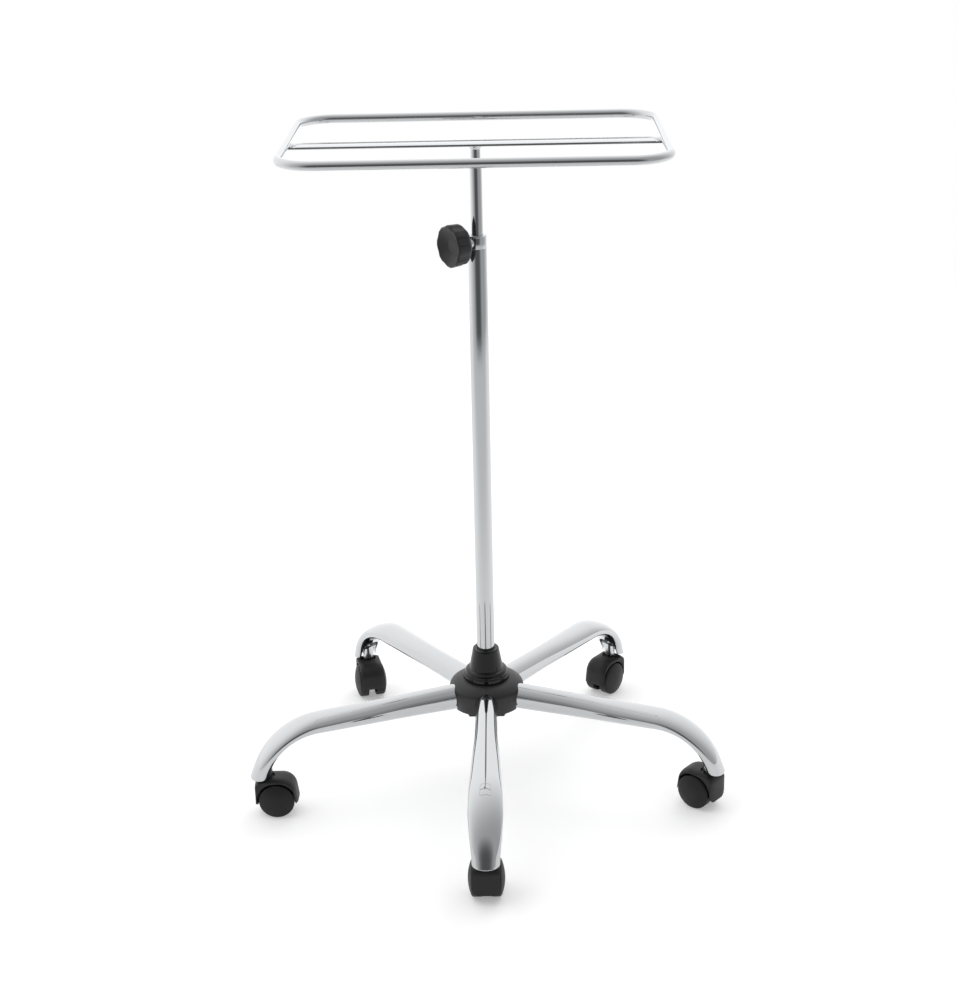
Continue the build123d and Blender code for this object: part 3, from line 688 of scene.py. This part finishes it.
# The stem sockets: a steel sleeve on a plate that is pressed into the leg's open tip and
# welded there, zinc plated. The caster's stem snaps into it from below.
def hold_in_leg(name, low, high, inset):
    """The part of the leg's inside between two heights."""
    runs = [leg_straight + leg_arc * (0.4 + 0.05 * k) for k in range(12)]
    runs.append(leg_length + 10)
    inside = close_ends(leg_skin(name, inset, runs))
    slab = block("slab", ((STEM_RADIUS - 9.5) * MM, -0.03, low * MM),
                 ((STEM_RADIUS + 40) * MM, 0.03, high * MM))
    cut(inside, slab, "INTERSECT")
    return inside


SOCKET_LOW, SOCKET_HIGH = 56.5, 79.0
socket = turned("stem_socket_sleeve", eased([
    (5.7, SOCKET_LOW), (8.3, SOCKET_LOW), (9.3, SOCKET_HIGH), (5.7, SOCKET_HIGH),
], {0: 0.3, 1: 0.8, 2: 0.4, 3: 0.5}), sides=72)
socket.data.transform(Matrix.Translation((STEM_RADIUS * MM, 0, 0)))
plate = hold_in_leg("socket_plate", SOCKET_HIGH - 3.0, SOCKET_HIGH, LEG_WALL + 0.03)
cut(plate, rod("sleeve_hole", 7.5 * MM, (STEM_RADIUS * MM, 0, 0.05), (STEM_RADIUS * MM, 0, 0.1)))
cut(socket, plate, "UNION")
socket_steel = plated("zinc_plated_socket_steel", "#cfd0d1", 0.26, 1.4)
at_each_leg(socket, "stem_socket_", socket_steel, "stem_socket_", angle=40)


# The casters' stems: turned mild steel, bright zinc plated, with a domed head, a groove for
# the snap ring and a shoulder that takes the load under the sleeve.
stem = turned("caster_stem", eased([
    (0, 33.0), (4.0, 33.0), (4.0, 54.7), (7.0, 54.7), (7.0, 56.5), (5.4, 56.5), (5.4, 71.0),
    (4.5, 71.0), (4.5, 75.0), (5.4, 75.0), (5.4, 79.6), (4.3, 81.4), (4.3, 84.4), (0, 86.4),
], {1: 0.6, 3: 0.4, 4: 0.4, 10: 0.8, 11: 0.6, 12: 1.6}), sides=64)
bright_zinc = plated("bright_zinc_plated_stem", "#d4d6d8", 0.16, 1.2)
for name, heading, trail in LEGS:
    spot = Matrix.Rotation(radians(heading), 4, "Z") @ Vector((STEM_RADIUS * MM, 0, 0))
    place = Matrix.Translation(spot) @ Matrix.Rotation(radians(trail), 4, "Z")
    hand_over(copy_of(stem, "caster_stem_" + name, place), bright_zinc, "base",
              "caster_stem_" + name)
    # The split ring is spring steel in the stem's groove, out of sight inside the sleeve.
    dress("stem_ring_" + name, zinc_plate)
bpy.data.objects.remove(stem)


# The caster hoods: one moulding of black glass filled nylon, upright at the stem, flat on
# top and rounded over to the tail, with a web between the wheels and a seat for the stem.
AXLE_X, AXLE_Z = 14.0, 25.0
FENDER_HALF, FENDER_CROWN, CORNER_R, HOLLOW_R = 17.5, 2.8, 9.0, 27.9
# The side view's outline from the axle: up the stem's wall, over the top and down the tail
FENDER_BACK, FENDER_TOP = -30.6, 32.0
fender_line = [(FENDER_BACK, -9.0), (FENDER_BACK, 0), (FENDER_BACK, 10.0)]
fender_line += eased([(FENDER_BACK, 0), (FENDER_BACK, FENDER_TOP), (0, FENDER_TOP)],
                     {1: 12.0}, step=5)[1:-1]
fender_line.append((-10.0, FENDER_TOP))
fender_line += eased([(-10.0, FENDER_TOP), (25.2, 32.3), (29.9, -3.0)],
                     {1: 21.0}, step=5)[1:-1]
fender_line += [(29.1, 3.0), (29.9, -3.0)]


def inward(station):
    """The direction square to the fender's line, into the hood."""
    along = Vector(fender_line[min(station + 1, len(fender_line) - 1)]) \
        - Vector(fender_line[max(station - 1, 0)])
    return Vector((along.y, -along.x)).normalized()


def fender_skin(station, half):
    """The outer skin, which falls off to both faces and is rounded at its lower corners."""
    here = Vector(fender_line[station])
    over_top = min(1.0, max(0.0, (here.x - FENDER_BACK) / 12.0))
    crown = FENDER_CROWN * (0.55 + 0.45 * over_top)
    here += inward(station) * crown * abs(half / FENDER_HALF) ** 4
    past = max(0.0, abs(half) - FENDER_HALF + CORNER_R)
    if station == 0:
        here.y += CORNER_R - sqrt(CORNER_R ** 2 - past ** 2)
    return here


across = [FENDER_HALF * sin(pi / 2 * k / 12) for k in range(-12, 13)]
section = [(half, False) for half in across] + [(half, True) for half in across[::-1]]
bpy.ops.object.select_all(action="DESELECT")
bpy.ops.mesh.primitive_circle_add(vertices=len(section), radius=1.0)
hood = settle("caster_hood")
for number, vertex in enumerate(hood.data.vertices):
    vertex.co = (0, 0, number * MM)
bpy.ops.object.mode_set(mode="EDIT")
bpy.ops.mesh.select_all(action="SELECT")
for station in fender_line[1:]:
    bpy.ops.mesh.extrude_region_move(TRANSFORM_OT_translate={"value": (MM, 0, 0)})
bpy.ops.object.mode_set(mode="OBJECT")
for vertex in hood.data.vertices:
    half, hollow = section[round(vertex.co.z / MM)]
    spot = fender_skin(round(vertex.co.x / MM), half)
    if hollow:
        spot = spot.normalized() * min(HOLLOW_R, spot.length - 1.0)
    vertex.co = ((AXLE_X + spot.x) * MM, half * MM, (AXLE_Z + spot.y) * MM)
close_ends(hood)
modify(hood, "BEVEL", width=0.35 * MM, segments=2, limit_method="ANGLE", angle_limit=radians(60))

# The web fills the hood's middle, a little inside its skin.
bpy.ops.object.select_all(action="DESELECT")
bpy.ops.mesh.primitive_circle_add(vertices=len(fender_line), radius=1.0, fill_type="NGON")
web = settle("hood_web")
WEB_INSET, WEB_THICKNESS = 1.6, 11.0
for station, vertex in enumerate(web.data.vertices):
    spot = Vector(fender_line[station]) + inward(station) * WEB_INSET
    vertex.co = ((AXLE_X + spot.x) * MM, 0, (AXLE_Z + spot.y) * MM)
modify(web, "SOLIDIFY", thickness=WEB_THICKNESS * MM, offset=0.0)
close_ends(web)
cut(hood, web, "UNION")
cut(hood, rod("stem_recess", 11.5 * MM, (0, 0, 0.0545), (0, 0, 0.062), sides=96))
cut(hood, rod("stem_boss", 8.0 * MM, (0, 0, 0.046), (0, 0, 0.0545)), "UNION")
cut(hood, rod("stem_bore", 4.05 * MM, (0, 0, 0.032), (0, 0, 0.06)))
hood_nylon = moulded("black_glass_filled_nylon", "#19191a", 0.5, 0.6, 0.22, ior=1.42)

# The wheels: twin cups of harder nylon, each with a plain domed face, a tread and a hollow
# back, which turn freely on the ends of one steel pin.
def arc_through(start, middle, end, steps=10):
    """Points of the arc through three (radius, height) points."""
    (ax, ay), (bx, by), (cx, cy) = start, middle, end
    d = 2 * (ax * (by - cy) + bx * (cy - ay) + cx * (ay - by))
    a2, b2, c2 = ax * ax + ay * ay, bx * bx + by * by, cx * cx + cy * cy
    mx = (a2 * (by - cy) + b2 * (cy - ay) + c2 * (ay - by)) / d
    my = (a2 * (cx - bx) + b2 * (ax - cx) + c2 * (bx - ax)) / d
    centre = Vector((mx, my))
    first, last = Vector(start) - centre, Vector(end) - centre
    sweep = atan2(first.x * last.y - first.y * last.x, first.dot(last))
    points = []
    for n in range(steps + 1):
        turn = sweep * n / steps
        points.append((mx + first.x * cos(turn) - first.y * sin(turn),
                       my + first.x * sin(turn) + first.y * cos(turn)))
    return points


FACE_R, FACE_RISE, FACE_TOP = 22.3, 4.3, 24.5
face_ball = (FACE_R ** 2 + FACE_RISE ** 2) / (2 * FACE_RISE)
face = [(r, FACE_TOP - face_ball + sqrt(face_ball ** 2 - r * r))
        for r in (0, 4, 8, 12, 16, 19.5, FACE_R)]
wheel = turned("caster_wheel", face + arc_through((FACE_R, 20.2), (24.3, 18.8), (25.0, 15.7), 8)[1:]
               + eased([(25.0, 6.5), (21.8, 6.5), (21.8, 15.6), (20.6, 17.4), (6.5, 20.6),
                        (6.5, 5.9), (3.05, 5.9), (3.05, 17.6), (0, 17.6)], {1: 0.4}, step=30),
               sides=128)
wheel.data.transform(Matrix.Translation((AXLE_X * MM, 0, AXLE_Z * MM))
                     @ Matrix.Rotation(-pi / 2, 4, "X"))
wheel_nylon = moulded("black_moulded_nylon", "#121213", 0.5, 1.0, 0.12, ior=1.40)
for name, heading, trail in LEGS:
    spot = Matrix.Rotation(radians(heading), 4, "Z") @ Vector((STEM_RADIUS * MM, 0, 0))
    place = Matrix.Translation(spot) @ Matrix.Rotation(radians(trail), 4, "Z")
    hand_over(copy_of(hood, "caster_hood_" + name, place), hood_nylon,
              "caster_" + name, "caster_hood_" + name, angle=40)
    turned_about = place @ Matrix.Translation((AXLE_X * MM, 0, 0)) @ Matrix.Rotation(pi, 4, "Z") \
        @ Matrix.Translation((-AXLE_X * MM, 0, 0))
    hand_over(copy_of(wheel, "caster_wheel_a_" + name, place), wheel_nylon,
              "wheel_a_" + name, "caster_wheel_a_" + name)
    hand_over(copy_of(wheel, "caster_wheel_b_" + name, turned_about), wheel_nylon,
              "wheel_b_" + name, "caster_wheel_b_" + name)
    dress("caster_axle_" + name, zinc_plate)
bpy.data.objects.remove(hood)
bpy.data.objects.remove(wheel)


size = {"cad": [list(corner) for corner in cad_box],
        "visual": [list(corner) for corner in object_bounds()]}
